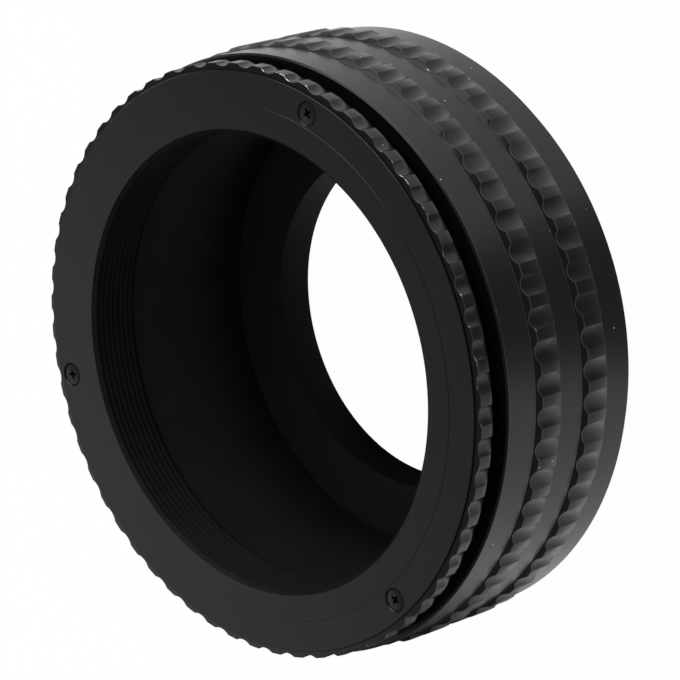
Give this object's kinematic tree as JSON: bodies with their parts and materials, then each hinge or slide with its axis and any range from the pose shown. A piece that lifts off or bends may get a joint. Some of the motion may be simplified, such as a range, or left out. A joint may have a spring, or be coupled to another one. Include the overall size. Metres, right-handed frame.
{
  "type": "focusing helicoid adapter",
  "caption": "Black metal focusing tube for camera lenses: a scalloped grip ring turns on a rear thread plate and drives a keyed barrel with a female front thread in and out.",
  "frame": {"origin": "centre of the rear stub's lower end, on the optical axis", "axes": "+Z along the optical axis towards the lens side, +Y through one of the front screws"},
  "size_m": [0.0684, 0.0684, 0.0285],
  "materials": {
    "black_anodised": "matt black anodised",
    "black_steel": "black oxide",
    "brass_bar": "milled"
  },
  "bodies": {
    "rear": {"rear_mount": "black_anodised", "guide_collar": "black_anodised", "guide_bar_1": "brass_bar", "guide_bar_2": "brass_bar", "guide_bar_3": "brass_bar", "rear_screws": "black_steel"},
    "ring": {"focusing_ring": "black_anodised"},
    "barrel": {"front_barrel": "black_anodised", "front_mount_ring": "black_anodised", "front_screws": "black_steel"}
  },
  "joints": [
    {"name": "ring_turn", "type": "hinge", "parent": "rear", "child": "ring", "pos_m": [0, 0, 0.0148], "axis": [0, 0, 1], "range_deg": [0, 260]},
    {"name": "barrel_slide", "type": "slide", "parent": "rear", "child": "barrel", "axis": [0, 0, 1], "range_m": [0, 0.013]}
  ],
  "couplings": [
    {"joint": "ring_turn", "follows": "barrel_slide", "rad_per_m": 349.06}
  ]
}
